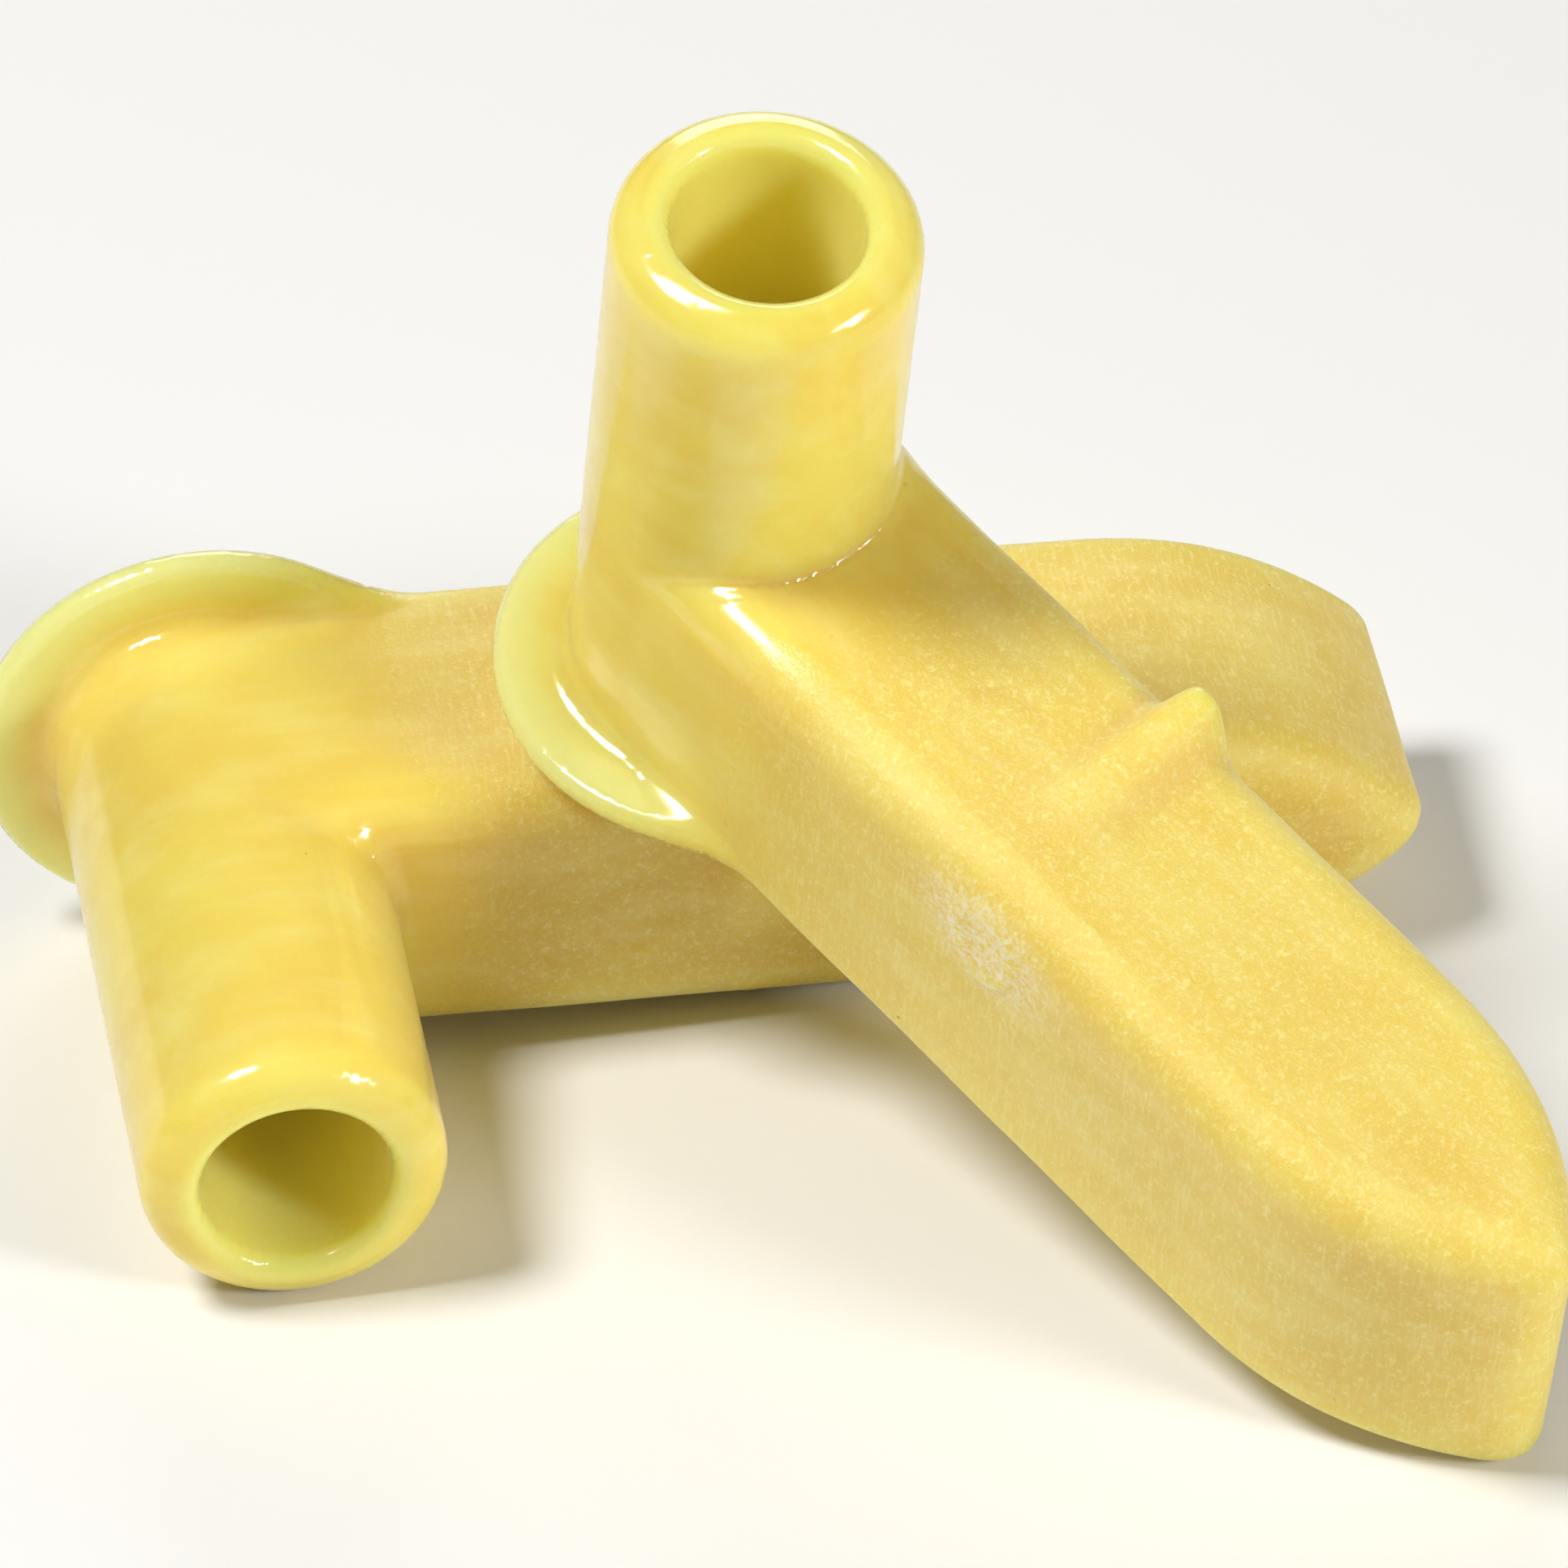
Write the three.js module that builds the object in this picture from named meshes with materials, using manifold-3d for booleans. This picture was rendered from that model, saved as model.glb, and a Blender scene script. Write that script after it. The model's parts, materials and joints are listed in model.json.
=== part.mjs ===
// Two twist-on wire connectors with side wings, one lying on its side and the other leaning across it.
// Each connector is one nylon moulding, with a conical steel grip spring pressed into its blind socket.
// Millimetres, +Z up, the floor at z = 0 and the origin at the middle of the pair's footprint.
import * as THREE from "three";
import * as BufferGeometryUtils from "three/addons/utils/BufferGeometryUtils.js";
import Module from "manifold-3d";

// Socket tube and flange
const tubeDiameter = 12.5;
const tubeHeight = 29.6;
const mouthOuterRadius = 1.3;
const mouthLipRadius = 0.5;
const flangeDiameter = 18.6;
const flangeThickness = 1.25;
const flangeFillet = 0.6;

// Blind socket: a round bore, then a taper that holds the spring
const boreDiameter = 8.0;
const boreDepth = 24.0;
const taperLength = 11.0;
const taperEndDiameter = 6.0;

// Wing: as wide as the tube, so that their sides run flush
const wingWidth = tubeDiameter;
const wingHeight = 14.0;
const wingReach = 49.4;
const wingStraight = 36.4;
const wingTopRadius = 2.05;

// Rib across the wing's top, tallest at one side and faded out before the other
const ribPlace = 21.0;
const ribHeight = 2.1;
const ribRadius = 1.6;
const ribFadeShare = 0.7;

// Grip spring: square wire wound on a cone, its wide end towards the mouth
const wireSize = 0.8;
const springTurns = 7;
const springGap = 0.3;

// How the two connectors lie
const upperAlongLowerWing = 20.1;
const upperBehindEdge = 3.5;
const upperTurn = THREE.MathUtils.degToRad(58.3);
const restGap = 0.3;

const roundSegments = 64;
const pointSegments = 128;
const cornerSegments = 6;
const stepsPerTurn = 16;
const leanSearchSteps = 30;
const mergeDistance = 1e-5;

const manifold = await Module();
manifold.setup();

// A closed three.js geometry as a solid that can be joined and cut
function solidFrom(geometry) {
  const bare = geometry.index ? geometry.toNonIndexed() : geometry.clone();
  bare.deleteAttribute("normal");
  bare.deleteAttribute("uv");
  const merged = BufferGeometryUtils.mergeVertices(bare, mergeDistance);
  const mesh = new manifold.Mesh({
    numProp: 3,
    vertProperties: new Float32Array(merged.attributes.position.array),
    triVerts: new Uint32Array(merged.index.array),
  });
  return new manifold.Manifold(mesh);
}

function geometryFrom(solid) {
  const mesh = solid.getMesh();
  const geometry = new THREE.BufferGeometry();
  geometry.setAttribute("position", new THREE.BufferAttribute(mesh.vertProperties, 3));
  geometry.setIndex(new THREE.BufferAttribute(mesh.triVerts, 1));
  geometry.computeVertexNormals();
  return geometry;
}

// Points along a quarter round in a lathe profile, from one angle to another
function corner(centreR, centreZ, radius, fromDegrees, toDegrees) {
  const points = [];
  for (let i = 0; i <= cornerSegments; i += 1) {
    const angle = THREE.MathUtils.degToRad(fromDegrees + ((toDegrees - fromDegrees) * i) / cornerSegments);
    points.push(new THREE.Vector2(centreR + radius * Math.cos(angle), centreZ + radius * Math.sin(angle)));
  }
  return points;
}

// A body turned about its own upright axis. The profile runs from the axis at the bottom, out, up and back.
function turned(profile) {
  const geometry = new THREE.LatheGeometry(profile, roundSegments);
  geometry.rotateX(Math.PI / 2);
  return solidFrom(geometry);
}

function axisPoint(z) {
  return new THREE.Vector2(0, z);
}

function tubeAndFlange() {
  const tubeRadius = tubeDiameter / 2;
  const flangeRadius = flangeDiameter / 2;
  const rim = flangeThickness / 2;
  return turned([
    axisPoint(0),
    ...corner(flangeRadius - rim, rim, rim, -90, 90),
    ...corner(tubeRadius + flangeFillet, flangeThickness + flangeFillet, flangeFillet, 270, 180),
    ...corner(tubeRadius - mouthOuterRadius, tubeHeight - mouthOuterRadius, mouthOuterRadius, 0, 90),
    axisPoint(tubeHeight),
  ]);
}

function socket() {
  const boreRadius = boreDiameter / 2;
  const floor = tubeHeight - boreDepth;
  const lip = corner(boreRadius + mouthLipRadius, tubeHeight - mouthLipRadius, mouthLipRadius, 180, 90);
  const above = tubeHeight + mouthLipRadius;
  return turned([
    axisPoint(floor),
    new THREE.Vector2(taperEndDiameter / 2, floor),
    new THREE.Vector2(boreRadius, floor + taperLength),
    ...lip,
    new THREE.Vector2(boreRadius + mouthLipRadius, above),
    axisPoint(above),
  ]);
}

// The wing's straight run: a bar with rounded top edges
function wingBar() {
  const half = wingWidth / 2;
  const section = new THREE.Shape();
  section.moveTo(-half, 0);
  section.lineTo(half, 0);
  section.absarc(half - wingTopRadius, wingHeight - wingTopRadius, wingTopRadius, 0, Math.PI / 2);
  section.absarc(wingTopRadius - half, wingHeight - wingTopRadius, wingTopRadius, Math.PI / 2, Math.PI);
  section.closePath();
  const options = { depth: wingStraight, bevelEnabled: false, curveSegments: cornerSegments };
  const geometry = new THREE.ExtrudeGeometry(section, options);
  geometry.rotateX(Math.PI / 2);
  geometry.rotateZ(Math.PI / 2);
  return solidFrom(geometry);
}

// The wing's pointed end: what two round pucks share, one for each curved side
function wingPoint() {
  const pointLength = wingReach - wingStraight;
  const sideRadius = (pointLength ** 2 + (wingWidth / 2) ** 2) / wingWidth;
  const sides = [-1, 1].map((side) => {
    const puck = new THREE.LatheGeometry(
      [
        axisPoint(0),
        new THREE.Vector2(sideRadius, 0),
        ...corner(sideRadius - wingTopRadius, wingHeight - wingTopRadius, wingTopRadius, 0, 90),
        axisPoint(wingHeight),
      ],
      pointSegments,
    );
    puck.rotateX(Math.PI / 2);
    puck.translate(wingStraight, side * (wingWidth / 2 - sideRadius), 0);
    return solidFrom(puck);
  });
  return sides[0].intersect(sides[1]);
}

// The rib: a round bar sunk at a slope, so that it stands full height at one side and fades out
function rib() {
  const fadeLength = ribFadeShare * wingWidth;
  const slope = Math.atan2(ribHeight, fadeLength);
  const length = fadeLength / Math.cos(slope) + 2 * ribRadius;
  const bar = new THREE.CylinderGeometry(ribRadius, ribRadius, length, roundSegments / 2);
  bar.rotateX(slope);
  const middle = length / 2 - ribRadius;
  bar.translate(
    ribPlace,
    wingWidth / 2 - middle * Math.cos(slope),
    wingHeight + ribHeight - ribRadius - middle * Math.sin(slope),
  );
  const ribWidthKept = 4 * ribRadius;
  const keep = new THREE.BoxGeometry(ribWidthKept, wingWidth, wingHeight);
  keep.translate(ribPlace, 0, wingHeight);
  return solidFrom(bar).intersect(solidFrom(keep));
}

function shellGeometry() {
  const outside = tubeAndFlange().add(wingBar()).add(wingPoint()).add(rib());
  return geometryFrom(outside.subtract(socket()));
}

// A conical helix that keeps the wire's faces square to the socket's axis
class ConicalCoil extends THREE.Curve {
  constructor(lowRadius, highRadius, lowZ, highZ, turns) {
    super();
    Object.assign(this, { lowRadius, highRadius, lowZ, highZ, turns });
  }

  getPoint(t, target = new THREE.Vector3()) {
    const angle = 2 * Math.PI * this.turns * t;
    const radius = THREE.MathUtils.lerp(this.lowRadius, this.highRadius, t);
    const z = THREE.MathUtils.lerp(this.lowZ, this.highZ, t);
    return target.set(radius * Math.cos(angle), radius * Math.sin(angle), z);
  }

  getPointAt(t, target) {
    return this.getPoint(t, target);
  }

  computeFrenetFrames(segments) {
    const frames = { tangents: [], normals: [], binormals: [] };
    for (let i = 0; i <= segments; i += 1) {
      const angle = (2 * Math.PI * this.turns * i) / segments;
      frames.tangents.push(new THREE.Vector3(-Math.sin(angle), Math.cos(angle), 0));
      frames.normals.push(new THREE.Vector3(Math.cos(angle), Math.sin(angle), 0));
      frames.binormals.push(new THREE.Vector3(0, 0, -1));
    }
    return frames;
  }
}

function springGeometry() {
  const half = wireSize / 2;
  const floor = tubeHeight - boreDepth;
  const inset = springGap + half;
  const steps = springTurns * stepsPerTurn;
  const coil = new ConicalCoil(
    taperEndDiameter / 2 - inset,
    boreDiameter / 2 - inset,
    floor + inset,
    floor + taperLength - half,
    springTurns,
  );
  const section = new THREE.Shape();
  section.moveTo(-half, -half);
  section.lineTo(half, -half);
  section.lineTo(half, half);
  section.lineTo(-half, half);
  section.closePath();
  return new THREE.ExtrudeGeometry(section, { steps, extrudePath: coil, bevelEnabled: false });
}

function verticesOf(geometry) {
  const position = geometry.attributes.position;
  return Array.from({ length: position.count }, (_, i) => new THREE.Vector3().fromBufferAttribute(position, i));
}

function lowestOf(points) {
  return points.reduce((low, point) => (point.z < low.z ? point : low));
}

// Tips the points about a level axis through the pivot until the next one comes down to the pivot's height
function tipUntilTouch(points, pivot, axis) {
  const falling = axis.clone().cross(new THREE.Vector3(0, 0, 1));
  let angle = Infinity;
  let touching = pivot;
  for (const point of points) {
    const arm = point.clone().sub(pivot);
    const out = arm.dot(falling);
    const needed = Math.atan2(arm.z, out);
    if (out > flangeThickness && needed < angle) {
      angle = needed;
      touching = point;
    }
  }
  const turn = new THREE.Quaternion().setFromAxisAngle(axis, angle);
  points.forEach((point) => point.sub(pivot).applyQuaternion(turn).add(pivot));
  return { turn, touching };
}

// The lower connector lies on its flange's rim, its tube's mouth and the side of its wing's point
function layOnSide(group, geometry) {
  const sideDown = new THREE.Matrix4().makeBasis(
    new THREE.Vector3(1, 0, 0),
    new THREE.Vector3(0, 0, 1),
    new THREE.Vector3(0, -1, 0),
  );
  const start = new THREE.Quaternion().setFromRotationMatrix(sideDown);
  const points = verticesOf(geometry).map((point) => point.applyQuaternion(start));
  const onFlange = lowestOf(points);
  const first = tipUntilTouch(points, onFlange.clone(), new THREE.Vector3(1, 0, 0));
  const towardsFlange = onFlange.clone().sub(first.touching).setZ(0).normalize();
  const second = tipUntilTouch(points, onFlange.clone(), towardsFlange);
  group.quaternion.copy(start).premultiply(first.turn).premultiply(second.turn);
  group.position.z = -lowestOf(points).z;
}

// The upper connector's underside leans on the lower wing, on the end of its rib or on its front top edge,
// whichever stands out further, and its own point is on the floor
function leanAcross(group, geometry, lower) {
  const points = verticesOf(geometry);
  const along = new THREE.Vector3(1, 0, 0).applyQuaternion(lower.quaternion);
  const up = new THREE.Vector3(0, 0, 1).addScaledVector(along, -along.z).normalize();
  const front = along.clone().cross(up);
  const edge = new THREE.Vector3(
    upperAlongLowerWing,
    wingWidth / 2 - wingTopRadius,
    wingHeight - wingTopRadius,
  );
  edge.applyQuaternion(lower.quaternion).add(lower.position);
  const ribEnd = new THREE.Vector3(ribPlace, wingWidth / 2, wingHeight + ribHeight);
  ribEnd.applyQuaternion(lower.quaternion).add(lower.position).sub(edge);

  function place(lean) {
    const tube = up.clone().multiplyScalar(Math.cos(lean)).addScaledVector(front, Math.sin(lean));
    const downhill = front.clone().multiplyScalar(Math.cos(lean)).addScaledVector(up, -Math.sin(lean));
    const wing = along.clone().multiplyScalar(Math.cos(upperTurn));
    wing.addScaledVector(downhill, Math.sin(upperTurn));
    const side = tube.clone().cross(wing);
    group.quaternion.setFromRotationMatrix(new THREE.Matrix4().makeBasis(wing, side, tube));
    const support = Math.max(wingTopRadius, ribEnd.dot(tube)) + restGap;
    group.position.copy(edge).addScaledVector(tube, support);
    group.position.addScaledVector(downhill, -upperBehindEdge);
    return lowestOf(points.map((point) => point.clone().applyQuaternion(group.quaternion))).z + group.position.z;
  }

  let low = 0;
  let high = Math.PI / 2;
  for (let i = 0; i < leanSearchSteps; i += 1) {
    const middle = (low + high) / 2;
    if (place(middle) > 0) low = middle;
    else high = middle;
  }
  place(low);
}

const shell = shellGeometry();
const spring = springGeometry();

function connector(name, nylonColour) {
  const group = new THREE.Group();
  const nylon = new THREE.MeshStandardMaterial({ color: nylonColour, roughness: 0.45, metalness: 0 });
  const steel = new THREE.MeshStandardMaterial({ color: 0x9a9c9e, roughness: 0.35, metalness: 1 });
  const shellMesh = new THREE.Mesh(shell, nylon);
  shellMesh.name = `${name}_connector_shell`;
  const springMesh = new THREE.Mesh(spring, steel);
  springMesh.name = `${name}_grip_spring`;
  group.add(shellMesh, springMesh);
  return group;
}

const lower = connector("lower", 0xe0c168);
const upper = connector("upper", 0xe8c96e);
layOnSide(lower, shell);
leanAcross(upper, shell, lower);

const pair = new THREE.Group();
pair.add(lower, upper);
pair.updateMatrixWorld(true);
const box = new THREE.Box3().setFromObject(pair, true);
pair.position.set(-(box.min.x + box.max.x) / 2, -(box.min.y + box.max.y) / 2, -box.min.z);

export default pair;
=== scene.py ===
import json
import math

import bmesh
import bpy
import numpy as np
from mathutils import Matrix, Vector


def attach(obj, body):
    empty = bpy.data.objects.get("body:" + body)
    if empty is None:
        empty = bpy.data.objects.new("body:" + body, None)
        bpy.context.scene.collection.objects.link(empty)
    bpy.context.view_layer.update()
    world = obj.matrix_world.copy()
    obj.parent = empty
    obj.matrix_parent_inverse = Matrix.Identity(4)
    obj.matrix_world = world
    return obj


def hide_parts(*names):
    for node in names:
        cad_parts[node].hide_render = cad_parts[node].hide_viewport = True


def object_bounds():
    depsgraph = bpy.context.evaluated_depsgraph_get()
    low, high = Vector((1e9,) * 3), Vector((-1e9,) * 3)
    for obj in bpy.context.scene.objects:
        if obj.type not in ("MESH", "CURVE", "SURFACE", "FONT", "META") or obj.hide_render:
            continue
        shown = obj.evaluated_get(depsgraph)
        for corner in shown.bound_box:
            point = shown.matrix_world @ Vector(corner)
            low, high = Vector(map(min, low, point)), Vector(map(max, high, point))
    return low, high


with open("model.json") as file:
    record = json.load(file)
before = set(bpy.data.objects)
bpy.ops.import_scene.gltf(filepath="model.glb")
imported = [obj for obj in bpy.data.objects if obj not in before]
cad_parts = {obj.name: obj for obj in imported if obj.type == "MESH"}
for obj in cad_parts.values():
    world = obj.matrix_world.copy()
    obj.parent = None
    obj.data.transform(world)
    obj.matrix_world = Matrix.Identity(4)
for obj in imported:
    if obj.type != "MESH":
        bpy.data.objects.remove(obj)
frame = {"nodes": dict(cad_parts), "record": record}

cad_low, cad_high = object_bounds()


# The view: from the front and a little from the left, looking down at the crossed pair through a
# long lens held slightly out of level.
view_azimuth = math.radians(-8.33)
view_elevation = math.radians(34.37)
view_roll = math.radians(-2.36)
view_distance = 0.6267
aim = (cad_low + cad_high) / 2 + Vector((0.0003, -0.0013, -0.0009))

towards_camera = Vector((
    math.sin(view_azimuth) * math.cos(view_elevation),
    -math.cos(view_azimuth) * math.cos(view_elevation),
    math.sin(view_elevation),
))
level_right = Vector((math.cos(view_azimuth), math.sin(view_azimuth), 0))
level_up = towards_camera.cross(level_right)
camera_right = level_right * math.cos(view_roll) + level_up * math.sin(view_roll)
camera_up = level_up * math.cos(view_roll) - level_right * math.sin(view_roll)

camera = bpy.data.objects.new("camera", bpy.data.cameras.new("camera"))
camera.data.sensor_width = 36
camera.data.lens = 363.4
camera.data.clip_start = 0.01
camera.data.clip_end = 50
camera.matrix_world = Matrix((camera_right, camera_up, towards_camera)).transposed().to_4x4()
camera.location = aim + towards_camera * view_distance
bpy.context.scene.collection.objects.link(camera)
bpy.context.scene.camera = camera


# The table and the light: a plain pale table, a soft key from the upper left, a lower soft light
# from the right, a weak one from behind, and dim white walls all round.
def soft_light(name, azimuth, elevation, distance, size, watts, colour):
    lamp = bpy.data.lights.new(name, "AREA")
    lamp.shape = "DISK"
    lamp.size = size
    lamp.energy = watts
    lamp.color = colour
    holder = bpy.data.objects.new(name, lamp)
    turn, lift = math.radians(azimuth), math.radians(elevation)
    away = Vector((math.sin(turn) * math.cos(lift), -math.cos(turn) * math.cos(lift), math.sin(lift)))
    holder.location = aim + away * distance
    holder.rotation_mode = "QUATERNION"
    holder.rotation_quaternion = away.to_track_quat("Z", "Y")
    bpy.context.scene.collection.objects.link(holder)


soft_light("key_light", -86, 60, 0.60, 0.20, 3.1, (1.0, 0.99, 0.97))
soft_light("front_light", 44, 24, 0.60, 0.14, 1.9, (1.0, 0.99, 0.97))
soft_light("rim_light", 172, 20, 0.60, 0.30, 0.8, (1.0, 1.0, 1.0))

wall_strength = 0.06
world = bpy.data.worlds.new("white_walls")
world.use_nodes = True
world.node_tree.nodes["Background"].inputs["Color"].default_value = (1.0, 1.0, 1.0, 1.0)
world.node_tree.nodes["Background"].inputs["Strength"].default_value = wall_strength
bpy.context.scene.world = world
bpy.context.scene.view_settings.view_transform = "Standard"

table_half = 3
table_corners = [(table_half * i, table_half * j, 0) for i, j in ((-1, -1), (1, -1), (1, 1), (-1, 1))]
table_mesh = bpy.data.meshes.new("table")
table_mesh.from_pydata(table_corners, [], [(0, 1, 2, 3)])
table = bpy.data.objects.new("table", table_mesh)
bpy.context.scene.collection.objects.link(table)
table_paint = bpy.data.materials.new("white_table")
table_paint.use_nodes = True
table_shader = table_paint.node_tree.nodes["Principled BSDF"]
table_shader.inputs["Base Color"].default_value = (0.90, 0.90, 0.89, 1.0)
table_shader.inputs["Roughness"].default_value = 0.7
table_mesh.materials.append(table_paint)


# The two connector shells: one injection moulding made twice, in natural nylon that has aged to a
# golden yellow. A socket tube stands on a thin flange, and a solid wing runs out of it to a point.
# Sizes in millimetres in the moulding's own frame: x along the wing, z up the socket.
tube_radius = 6.25
tube_height = 29.6
mouth_round = 1.6
mouth_step, mouth_step_radius, mouth_step_edge = 0.10, 5.0, 0.15
lip_round = 0.8
flange_radius = 9.3
flange_thickness = 1.25
flange_fillet = 1.3
bore_radius = 3.9
bore_floor = 5.6
taper_top = 16.6
taper_floor_radius = 3.0
wing_half = 6.25
wing_height = 13.95
wing_straight = 36.4
wing_reach = 49.9
wing_top_round = 2.05
wing_under_round = 0.8
point_round = 1.1
crest_height, crest_width = 0.05, 0.22
bead_height, bead_out, bead_width = 0.10, 0.45, 0.22
top_wave, top_grain, side_wave = 0.025, 0.010, 0.04
rib_x, rib_half, rib_height, rib_fade_y = 21.1, 1.4, 2.1, -2.7
rib_top_round = 0.55
pin_x, pin_y, pin_radius, pin_depth, pin_edge = 16.1, -0.5, 2.0, 0.13, 0.1
gate_x, gate_z, gate_radius = 22.4, 10.6, 1.7
gate_lip, gate_lip_width, gate_scuff, gate_wander = 0.20, 0.35, 0.07, 0.3
flash_height, flash_thickness = 0.28, 0.35
root_crease, root_fillet, root_fillet_far, root_fillet_low = 0.05, 0.5, 1.4, 1.8


def rounded_both(a, b, radius):
    """What two shapes share, with the edge between them rounded."""
    return (
        np.minimum(np.maximum(a, b) + radius, 0)
        + np.hypot(np.maximum(a + radius, 0), np.maximum(b + radius, 0))
        - radius
    )


def blended(a, b, width):
    """Two shapes joined, with a hollow fillet of about that width between them."""
    share = np.maximum(width - np.abs(a - b), 0) / width
    return np.minimum(a, b) - share * share * width / 4


def step(x, low, high):
    t = np.clip((x - low) / (high - low), 0, 1)
    return t * t * (3 - 2 * t)


def ripple(x, y, z, size, seed):
    """Smooth seeded unevenness from -1 to 1, with lumps of about that size."""
    rng = np.random.default_rng(seed)
    total = 0
    for _ in range(7):
        direction = rng.normal(size=3)
        direction *= rng.uniform(0.6, 1.4) * 2 * math.pi / size / np.linalg.norm(direction)
        total = total + np.sin(x * direction[0] + y * direction[1] + z * direction[2] + rng.uniform(0, 6.28))
    return total / 7 * 1.6


def wing_outline(x, y):
    """How far a point is outside the wing seen from above: straight sides, then two arcs to the point."""
    length = wing_reach - wing_straight
    radius = (length**2 + wing_half**2) / (2 * wing_half)
    past = np.maximum(x - wing_straight, 0)
    left = np.hypot(past, y + radius - wing_half) - radius
    right = np.hypot(past, -y + radius - wing_half) - radius
    sides = -blended(-left, -right, point_round * 2)
    return np.maximum(sides, -x)


def moulding(p):
    """How far each point is outside the moulding, below zero inside it."""
    x, y, z = p.T
    r = np.hypot(x, y)
    mouth = tube_height - mouth_step * step(
        r, mouth_step_radius - mouth_step_edge, mouth_step_radius + mouth_step_edge
    )
    tube = np.maximum(rounded_both(r - tube_radius, z - mouth, mouth_round), -z)
    half = flange_thickness / 2
    flange = np.hypot(np.maximum(r - (flange_radius - half), 0), z - half) - half
    foot = blended(tube, flange, flange_fillet)

    side = wing_outline(x, y)
    sunk = top_wave * ripple(x, y, 0 * z, 13.0, 3) + top_grain * ripple(x, y, 0 * z, 4.0, 4)
    crest = crest_height * np.exp(-(((side + wing_top_round) / crest_width) ** 2))
    pin = np.hypot(x - pin_x, y - pin_y)
    dent = pin_depth * (1 - step(pin, pin_radius - pin_edge, pin_radius + pin_edge))
    bead = bead_height * np.exp(-(((r - tube_radius - bead_out) / bead_width) ** 2))
    across = np.exp(-(np.abs((x - rib_x) / rib_half) ** 3))
    rib = rib_height * across * np.clip((y - rib_fade_y) / (wing_half - rib_fade_y), 0, 1)
    top = z - (wing_height + sunk * step(-side, 1.5, 3.5) + crest - dent + bead + rib)
    wall = side + side_wave * ripple(x, 0 * y, z, 9.0, 5) * step(x, 1, 6)
    top_round = wing_top_round - (wing_top_round - rib_top_round) * across * step(y, -1, 4)
    wing = rounded_both(wall, top, top_round)
    flash = flash_height * step(ripple(x, 0 * y, 0 * z, 5.0, 6), -0.3, 0.9)
    flash = flash * step(x, 6, 8) * (1 - step(x, 22, 30))
    flash = flash * step(-y, 3, 6) * np.exp(-((z / flash_thickness) ** 2))
    wing = rounded_both(wing - flash, -z, wing_under_round)

    gate = np.hypot(x - gate_x, z - gate_z) + gate_wander * ripple(x, 0 * y, z, 2.6, 10)
    torn = gate_lip * np.exp(-(((gate - gate_radius) / gate_lip_width) ** 2))
    torn = torn * (1 + 0.8 * ripple(x, 0 * y, z, 1.1, 8))
    torn = torn + gate_scuff * (1 - step(gate, 1, 4.5)) * ripple(x, 0 * y, z, 0.9, 9)
    wing = wing - torn * step(-y, 5, 6)

    above = step(z, wing_height - 2.5, wing_height - 0.5)
    low = 1 - step(z, 1.0, 2.4)
    hollow_fillet = above * (root_fillet + root_fillet_far * step(y, 0, 6.5)) + root_fillet_low * low
    body = blended(foot, wing, root_crease + hollow_fillet * step(x, 0.5, 5))
    body = np.maximum(body, -z)
    bore = taper_floor_radius + (bore_radius - taper_floor_radius) * np.clip(
        (z - bore_floor) / (taper_top - bore_floor), 0, 1
    )
    hollow = np.maximum(r - bore, bore_floor - z)
    return rounded_both(body, -hollow, lip_round)


def slope_of(shape, p, reach=0.02):
    """Which way a shape's distance grows at each point."""
    grown = [shape(p + reach * axis) - shape(p - reach * axis) for axis in np.eye(3)]
    return np.array(grown).T / (2 * reach)


def frame_of(name):
    """Where a moulding lies: its own axes and origin in the row frame, from two of its flat faces."""
    mounts = {m["name"]: m for m in frame["record"]["mounts"]}
    origin = Vector(mounts[f"{name}_underside"]["pos_m"])
    up = Vector(mounts[f"{name}_wing_top"]["axis"]).normalized()
    along = Vector(mounts[f"{name}_wing_top"]["pos_m"]) - origin
    along = (along - up * along.dot(up)).normalized()
    turned = Matrix((along, up.cross(along), up)).transposed().to_4x4()
    return Matrix.Translation(origin) @ turned @ Matrix.Scale(0.001, 4)


fine_voxel, quick_voxel = 0.23, 0.45
settling_steps = 6


def moulded_mesh(name):
    """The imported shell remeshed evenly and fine, then every vertex drawn onto the true surface."""
    rough = frame["nodes"][f"{name}_connector_shell"].data.copy()
    rough.transform(frame_of(name).inverted())
    holder = bpy.data.objects.new("blank", rough)
    bpy.context.scene.collection.objects.link(holder)
    remesh = holder.modifiers.new("even", "REMESH")
    remesh.mode = "VOXEL"
    remesh.voxel_size = fine_voxel
    fine = bpy.data.meshes.new_from_object(holder.evaluated_get(bpy.context.evaluated_depsgraph_get()))
    bpy.data.objects.remove(holder)
    p = np.empty(len(fine.vertices) * 3)
    fine.vertices.foreach_get("co", p)
    p = p.reshape(-1, 3)
    for _ in range(settling_steps):
        slope = slope_of(moulding, p)
        steep = np.maximum((slope**2).sum(1), 0.25)
        p = p - slope * (moulding(p) / steep)[:, None]
    fine.vertices.foreach_set("co", p.ravel())
    return fine, p


def write_values(mesh, name, values):
    kind = "FLOAT_VECTOR" if values.ndim == 2 else "FLOAT"
    layer = mesh.attributes.new(name, kind, "POINT")
    layer.data.foreach_set("vector" if values.ndim == 2 else "value", values.astype(np.float32).ravel())


# Near-white: the real pale scuff at the gate, and painted sparkle highlights on the frosted wing.
scuff_and_glint_white = (0.94, 0.86, 0.62)
# Bright amber for the bore: painted light, standing in for light scattered through the walls and bounced
# inside.
painted_bore_glow = (1.0, 0.87, 0.26)
speck_brown = (0.16, 0.09, 0.03)


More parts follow.
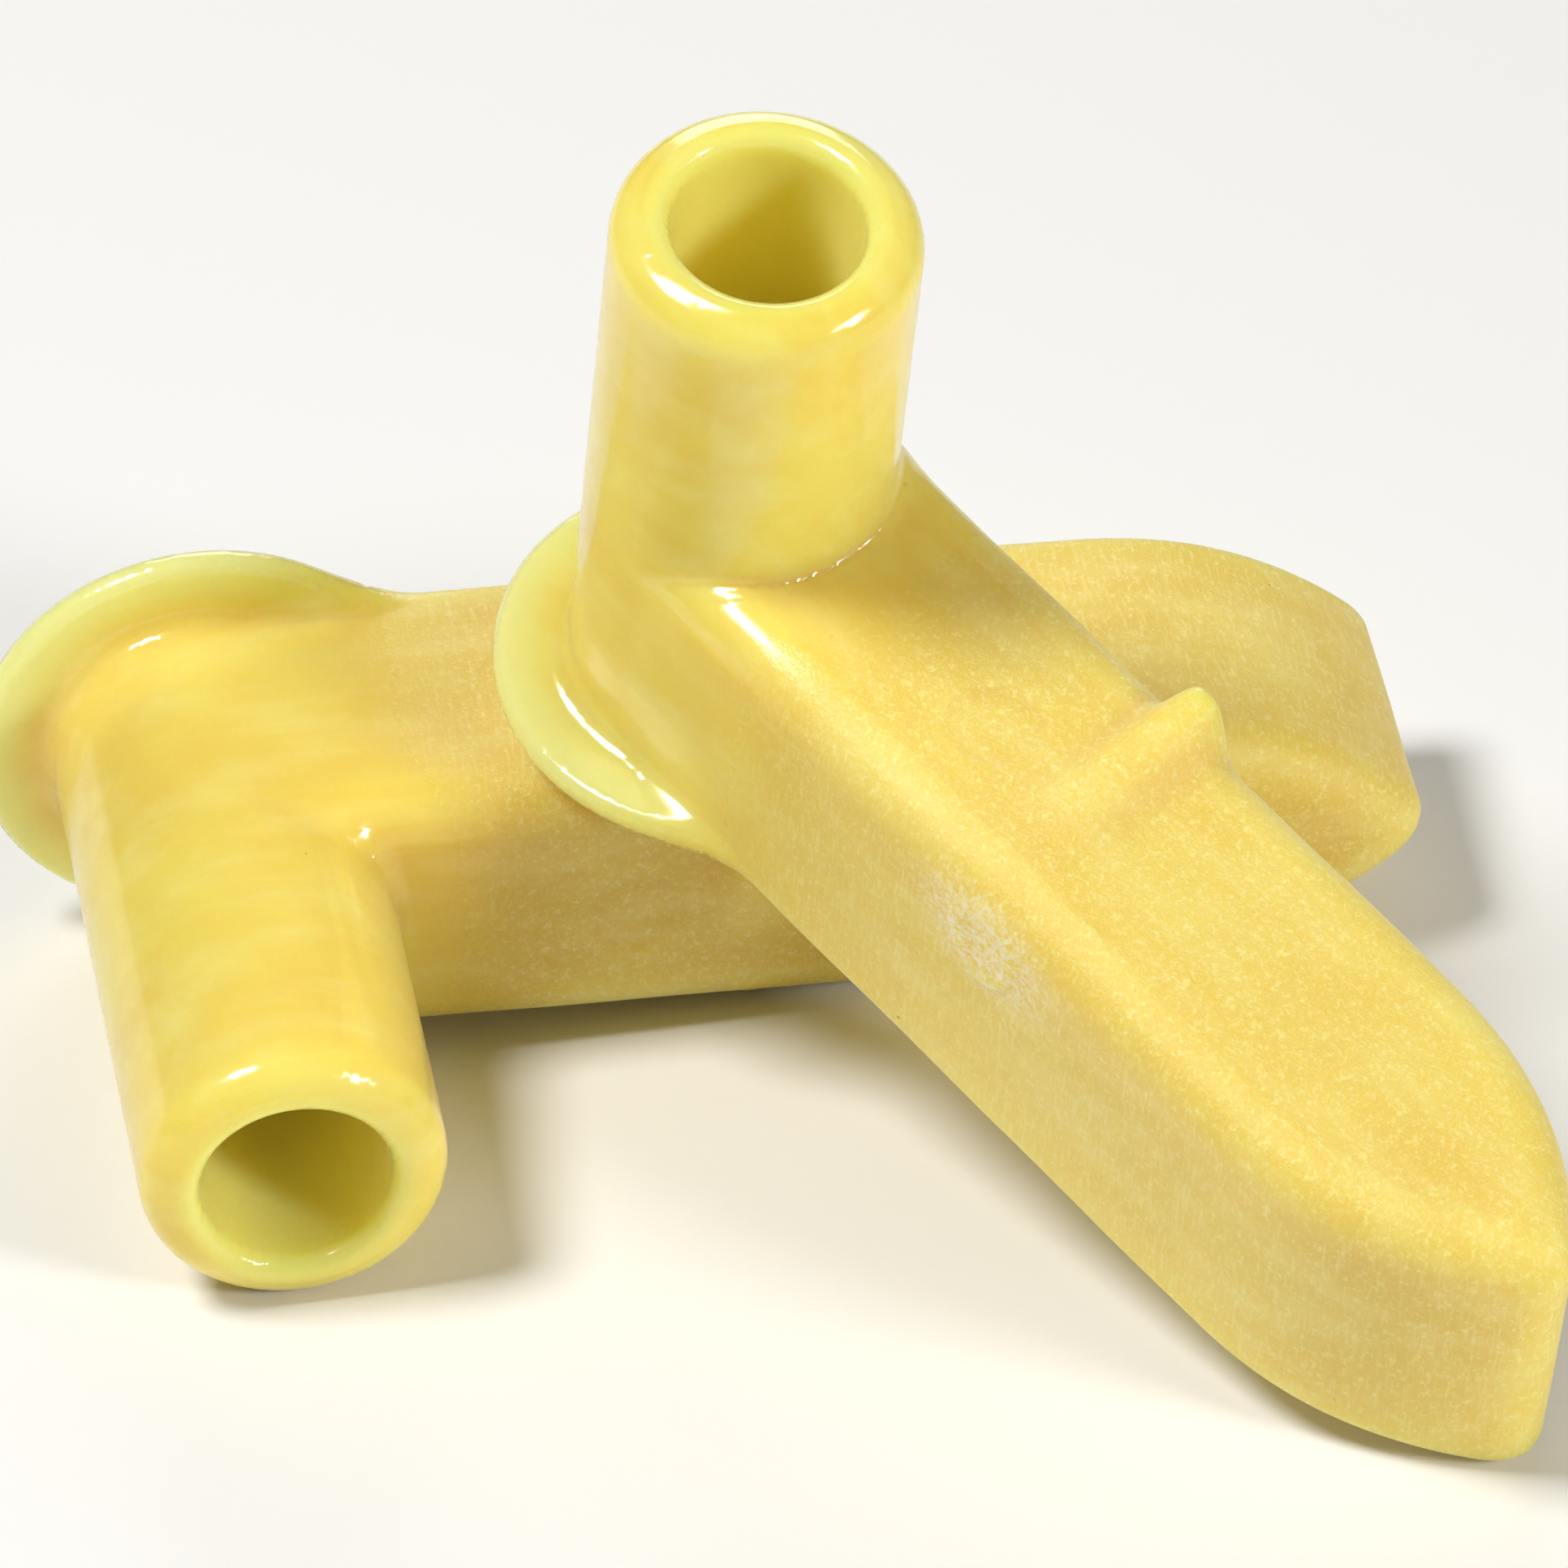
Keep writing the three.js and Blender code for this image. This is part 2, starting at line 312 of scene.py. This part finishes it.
def nylon(name, tone):
    """Aged natural nylon: light goes in and scatters, the tube is glossy and the wing is frosted."""
    paint = bpy.data.materials.new(name)
    paint.use_nodes = True
    tree = paint.node_tree
    shader = tree.nodes["Principled BSDF"]

    def add(kind, **values):
        made = tree.nodes.new(kind)
        for key, value in values.items():
            if hasattr(made, key):
                setattr(made, key, value)
            else:
                made.inputs[key].default_value = value
        return made

    def read(attribute, output):
        return add("ShaderNodeAttribute", attribute_name=attribute).outputs[output]

    def maths(operation, a, b, clamp=False):
        made = add("ShaderNodeMath", operation=operation, use_clamp=clamp)
        for socket, value in zip(made.inputs, (a, b)):
            if isinstance(value, (int, float)):
                socket.default_value = value
            else:
                tree.links.new(value, socket)
        return made.outputs[0]

    def noise(scale, detail, roughness, stretch=None):
        made = add("ShaderNodeTexNoise", Scale=scale, Detail=detail, Roughness=roughness)
        where = read("place", "Vector")
        if stretch:
            squeeze = add("ShaderNodeVectorMath", operation="MULTIPLY")
            squeeze.inputs[1].default_value = stretch
            tree.links.new(where, squeeze.inputs[0])
            where = squeeze.outputs[0]
        tree.links.new(where, made.inputs["Vector"])
        return made.outputs["Fac"]

    def mix(share, a, b, blend="MIX"):
        made = add("ShaderNodeMix", data_type="RGBA", blend_type=blend)
        for socket, value in ((made.inputs[0], share), (made.inputs[6], a), (made.inputs[7], b)):
            if isinstance(value, (int, float)):
                socket.default_value = value
            elif isinstance(value, tuple):
                socket.default_value = (*value, 1.0)
            else:
                tree.links.new(value, socket)
        return made.outputs[2]

    def band(value, low, high):
        made = add("ShaderNodeMapRange")
        made.inputs["From Min"].default_value = low
        made.inputs["From Max"].default_value = high
        tree.links.new(value, made.inputs["Value"])
        return made.outputs[0]

    frost = read("frost", "Fac")
    scuff = read("scuff", "Fac")
    thin = read("thin", "Fac")
    inside = read("inside", "Fac")
    clouds = noise(0.12, 3.0, 0.5)
    streaks = noise(0.5, 4.0, 0.6, (0.25, 1.0, 1.0))
    flecks = noise(3.2, 3.0, 0.7)
    grains = noise(9.0, 2.0, 0.6)
    strokes = noise(6.0, 2.0, 0.5, (1.0, 1.0, 0.15))
    specks = add("ShaderNodeTexVoronoi", Scale=0.22)
    tree.links.new(read("place", "Vector"), specks.inputs["Vector"])

    deep, gold, pale, amber = tone
    colour = mix(band(clouds, 0.35, 0.65), deep, gold)
    colour = mix(maths("MULTIPLY", frost, 0.45), colour, amber)
    colour = mix(maths("MULTIPLY", band(streaks, 0.45, 0.75), 0.35), colour, pale)
    colour = mix(maths("MULTIPLY", maths("MULTIPLY", band(flecks, 0.54, 0.68), frost), 0.60), colour, pale)
    colour = mix(maths("MULTIPLY", maths("MULTIPLY", band(strokes, 0.52, 0.70), frost), 0.30), colour, pale)
    # Painted highlights: near-white glints on the frosted wing stand in for its sparkle.
    painted_glint = maths("MULTIPLY", maths("MULTIPLY", band(grains, 0.62, 0.72), frost), 0.45)
    colour = mix(painted_glint, colour, scuff_and_glint_white)
    # Painted light: the thin flange is painted paler, standing in for light shining through it.
    colour = mix(maths("MULTIPLY", thin, 0.8), colour, pale)
    # Painted light: the bore is painted bright amber as if lit from within.
    colour = mix(maths("MULTIPLY", inside, 0.9), colour, painted_bore_glow)
    colour = mix(maths("MULTIPLY", scuff, band(flecks, 0.40, 0.62)), colour, scuff_and_glint_white)
    speck = maths("MULTIPLY", band(specks.outputs["Distance"], 0.022, 0.012), 0.75)
    colour = mix(speck, colour, speck_brown)
    tree.links.new(colour, shader.inputs["Base Color"])

    rough = maths("ADD", 0.17, maths("MULTIPLY", frost, 0.26))
    grit = maths("MULTIPLY", band(flecks, 0.3, 0.7), frost)
    rough = maths("ADD", rough, maths("MULTIPLY", grit, 0.10))
    rough = maths("ADD", rough, maths("MULTIPLY", scuff, 0.25), True)
    tree.links.new(rough, shader.inputs["Roughness"])

    relief = maths("ADD", maths("ADD", grains, strokes), maths("MULTIPLY", flecks, 2.2))
    relief = maths("MULTIPLY", relief, maths("ADD", 0.02, frost))
    bump = add("ShaderNodeBump", Strength=0.45, Distance=0.00007)
    tree.links.new(relief, bump.inputs["Height"])
    tree.links.new(bump.outputs["Normal"], shader.inputs["Normal"])

    shader.inputs["Subsurface Weight"].default_value = 1.0
    shader.inputs["Subsurface Radius"].default_value = (1.0, 0.70, 0.20)
    shader.inputs["Subsurface Scale"].default_value = 0.0036
    shader.inputs["IOR"].default_value = 1.53
    shader.inputs["Sheen Weight"].default_value = 0.14
    shader.inputs["Sheen Roughness"].default_value = 0.35
    shader.inputs["Sheen Tint"].default_value = (1.0, 0.90, 0.86, 1.0)
    return paint


def shell(name, tone):
    fine, p = moulded_mesh(name)
    slope = slope_of(moulding, p)
    slope /= np.linalg.norm(slope, axis=1)[:, None]
    x, y, z = p.T
    r = np.hypot(x, y)
    write_values(fine, "place", p)
    frost_start = x + 1.8 * ripple(x, y, z, 6.0, 11)
    write_values(fine, "frost", step(r, 6.4, 13) * step(frost_start, 1, 12) * (1 - step(z, 14.6, 18)))
    gate = np.hypot((x - gate_x) / 1.5, z - gate_z)
    write_values(fine, "scuff", (1 - step(gate, 1.0, 3.6)) * step(-y, 5.5, 6.1))
    # Where the bore's painted glow goes.
    write_values(fine, "inside", (1 - step(r, 3.95, 5.0)) * step(z, 4.5, 5.5))
    # Where the thin flange is painted paler for light shining through it.
    write_values(fine, "thin", step(r, 6.6, 8.6) * (1 - step(z, 1.4, 2.4)) * (1 - step(x, 1, 8)))
    where = frame_of(name)
    fine.transform(where)
    fine.normals_split_custom_set_from_vertices(
        [tuple(n) for n in slope @ np.array(where.to_3x3().normalized()).T]
    )
    fine.polygons.foreach_set("use_smooth", [True] * len(fine.polygons))
    fine.materials.clear()
    fine.materials.append(nylon(f"aged_nylon_{name}", tone))
    piece = bpy.data.objects.new(f"{name}_shell", fine)
    bpy.context.scene.collection.objects.link(piece)
    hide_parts(f"{name}_connector_shell")
    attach(piece, f"{name}_connector")


# The lower shell's tones are a little darker than the upper's: painted shade, as it lies under the upper
# one.
shell("lower", ((0.84, 0.64, 0.12), (0.90, 0.73, 0.15), (0.97, 0.88, 0.38), (0.76, 0.54, 0.10)))
shell("upper", ((0.87, 0.68, 0.13), (0.93, 0.77, 0.17), (0.98, 0.90, 0.38), (0.80, 0.58, 0.11)))


# The grip springs: bright square steel wire wound on a cone, sprung into the taper at the bottom of
# each socket. The wide end faces the mouth, and both ends of the wire are cut square.
wire_size = 0.8
wire_edge = 0.12
spring_turns = 7
steps_per_turn = 64
spring_gap = 0.3


def spring_mesh():
    half = wire_size / 2
    inset = spring_gap + half
    section = []
    for quarter in range(4):
        middle = math.pi / 4 + quarter * math.pi / 2
        centre_r = math.copysign(half - wire_edge, math.cos(middle))
        centre_z = math.copysign(half - wire_edge, math.sin(middle))
        for turn in (-math.pi / 4, 0, math.pi / 4):
            angle = middle + turn
            section.append((centre_r + wire_edge * math.cos(angle), centre_z + wire_edge * math.sin(angle)))
    steps = spring_turns * steps_per_turn
    build = bmesh.new()
    rings = []
    for i in range(steps + 1):
        t = i / steps
        angle = 2 * math.pi * spring_turns * t
        radius = (taper_floor_radius - inset) * (1 - t) + (bore_radius - inset) * t
        height = (bore_floor + inset) * (1 - t) + (taper_top - half) * t
        rings.append([
            build.verts.new(((radius + u) * math.cos(angle), (radius + u) * math.sin(angle), height + v))
            for u, v in section
        ])
    for before, after in zip(rings, rings[1:]):
        for k in range(len(section)):
            n = (k + 1) % len(section)
            build.faces.new((before[k], after[k], after[n], before[n]))
    build.faces.new(rings[0])
    build.faces.new(list(reversed(rings[-1])))
    bmesh.ops.recalc_face_normals(build, faces=build.faces)
    mesh = bpy.data.meshes.new("spring")
    build.to_mesh(mesh)
    build.free()
    mesh.polygons.foreach_set("use_smooth", [True] * len(mesh.polygons))
    return mesh


def spring_steel():
    paint = bpy.data.materials.new("drawn_steel")
    paint.use_nodes = True
    tree = paint.node_tree
    shader = tree.nodes["Principled BSDF"]
    shader.inputs["Metallic"].default_value = 1.0
    where = tree.nodes.new("ShaderNodeTexCoord")
    drawn = tree.nodes.new("ShaderNodeTexNoise")
    drawn.inputs["Scale"].default_value = 2500
    drawn.inputs["Detail"].default_value = 4
    tree.links.new(where.outputs["Object"], drawn.inputs["Vector"])
    tint = tree.nodes.new("ShaderNodeMix")
    tint.data_type = "RGBA"
    tint.inputs[6].default_value = (0.50, 0.49, 0.47, 1.0)
    tint.inputs[7].default_value = (0.68, 0.68, 0.67, 1.0)
    tree.links.new(drawn.outputs["Fac"], tint.inputs[0])
    tree.links.new(tint.outputs[2], shader.inputs["Base Color"])
    gloss = tree.nodes.new("ShaderNodeMapRange")
    gloss.inputs["To Min"].default_value = 0.22
    gloss.inputs["To Max"].default_value = 0.45
    tree.links.new(drawn.outputs["Fac"], gloss.inputs["Value"])
    tree.links.new(gloss.outputs[0], shader.inputs["Roughness"])
    scratch = tree.nodes.new("ShaderNodeBump")
    scratch.inputs["Strength"].default_value = 0.3
    scratch.inputs["Distance"].default_value = 0.00002
    tree.links.new(drawn.outputs["Fac"], scratch.inputs["Height"])
    tree.links.new(scratch.outputs["Normal"], shader.inputs["Normal"])
    return paint


steel = spring_steel()
for name in ("lower", "upper"):
    coil = spring_mesh()
    coil.transform(frame_of(name))
    coil.materials.append(steel)
    spring = bpy.data.objects.new(f"{name}_spring", coil)
    bpy.context.scene.collection.objects.link(spring)
    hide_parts(f"{name}_grip_spring")
    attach(spring, f"{name}_connector")
